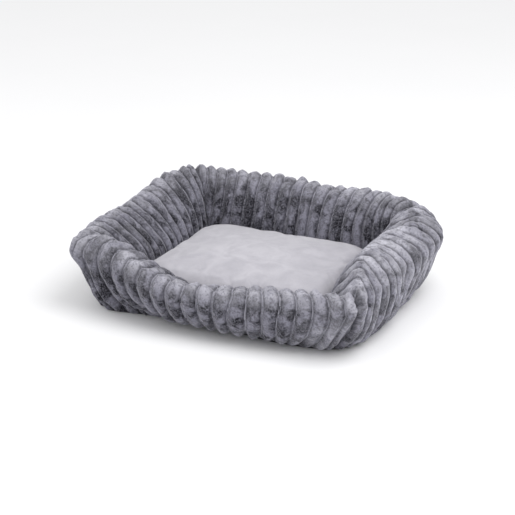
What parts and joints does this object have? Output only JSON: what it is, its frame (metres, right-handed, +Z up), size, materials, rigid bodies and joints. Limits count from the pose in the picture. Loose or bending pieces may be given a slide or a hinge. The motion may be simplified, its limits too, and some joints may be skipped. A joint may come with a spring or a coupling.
{
  "type": "pet cushion bed",
  "caption": "Rectangular pet bed with four stuffed ribbed plush walls, low at the front, and a loose crowned lying cushion on a padded base.",
  "frame": {"origin": "on the floor, under the middle of the bed's outer box", "axes": "+X along the long side, +Y from the low front wall to the back wall, +Z up"},
  "size_m": [0.651, 0.5439, 0.18],
  "materials": {
    "ribbed_plush": "matte",
    "pale_plush": "matte",
    "coated_cloth": "matte",
    "lining_cloth": "matte",
    "fibre_stuffing": "matte"
  },
  "bodies": {
    "bed": {"base_underside": "coated_cloth", "base_wadding": "fibre_stuffing", "base_floor_panel": "lining_cloth", "front_wall_cover": "ribbed_plush", "front_wall_stuffing": "fibre_stuffing", "right_wall_cover": "ribbed_plush", "right_wall_stuffing": "fibre_stuffing", "back_wall_cover": "ribbed_plush", "back_wall_stuffing": "fibre_stuffing", "left_wall_cover": "ribbed_plush", "left_wall_stuffing": "fibre_stuffing"},
    "cushion": {"cushion_top_panel": "pale_plush", "cushion_bottom_panel": "lining_cloth", "cushion_stuffing": "fibre_stuffing"}
  },
  "joints": [
    {"name": "cushion_lift", "type": "slide", "parent": "bed", "child": "cushion", "axis": [0, 0, 1], "range_m": [0, 0.18]}
  ]
}
